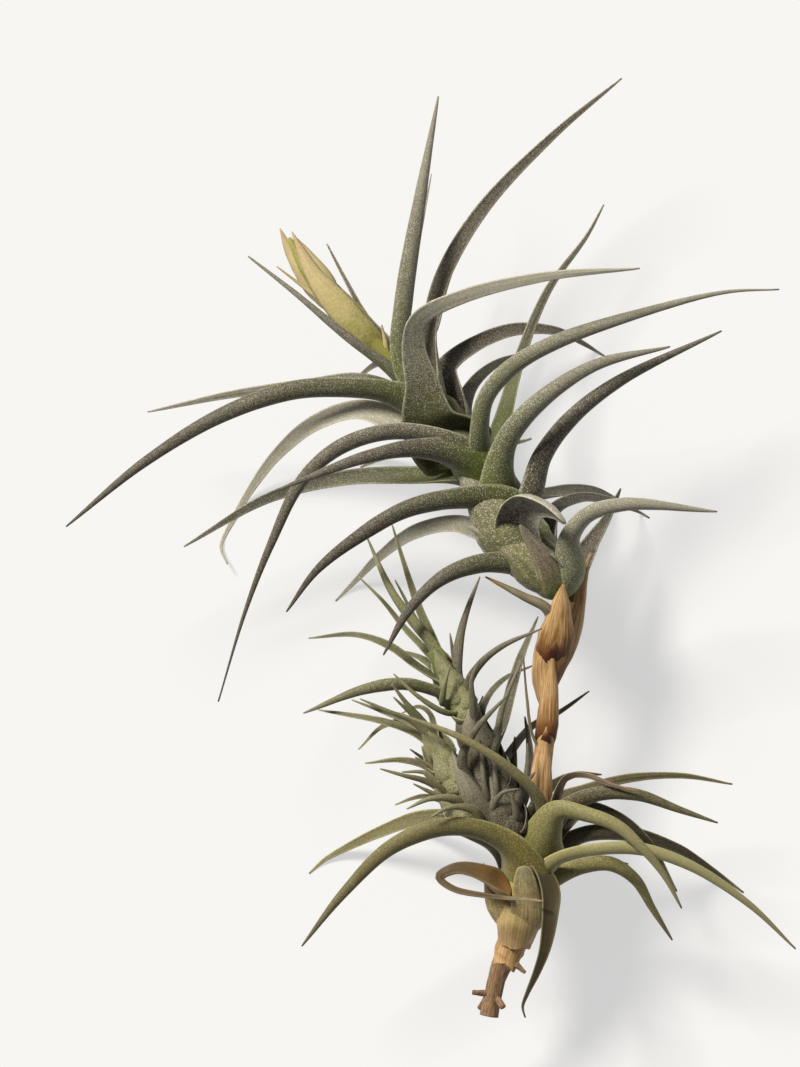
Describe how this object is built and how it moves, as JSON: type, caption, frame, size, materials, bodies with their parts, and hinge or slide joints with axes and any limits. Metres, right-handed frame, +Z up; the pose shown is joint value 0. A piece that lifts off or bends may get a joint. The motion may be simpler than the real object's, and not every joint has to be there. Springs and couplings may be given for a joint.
{
  "type": "air plant",
  "caption": "Bare viviparous air plant lying on its side: an old rosette with its root end and side shoots, a dead flower stalk, and a large plantlet with a flower bud at its end.",
  "frame": {"origin": "centre of the plant's box on the surface that it lies on", "axes": "+Z up, +Y along the plant from its root end to the tip of the large plantlet, +X to the right as the picture shows it from above"},
  "size_m": [0.2196, 0.2826, 0.0793],
  "materials": {
    "old_leaf": "matt, scurfy olive-green leaf",
    "silver_leaf": "matt leaf covered in fine silver-grey scales",
    "straw": "dry, ribbed papery bracts",
    "root": "dry fibrous brown root end",
    "dead_leaf": "dry tan leaf",
    "grey_leaf": "matt grey leaf",
    "green_leaf": "matt fresh green leaf",
    "bud": "pale yellow-green bracts with pinkish-brown edges"
  },
  "bodies": {
    "root": {"mother_rosette": "old_leaf", "upper_rosette": "silver_leaf", "dry_stalk": "straw", "root_stub": "root", "dry_leaf_curled": "dead_leaf", "dry_leaf_right": "dead_leaf", "pup_grey": "grey_leaf", "pup_green": "green_leaf", "pup_left": "green_leaf", "pup_low": "green_leaf", "flower_spike": "bud"}
  },
  "joints": []
}
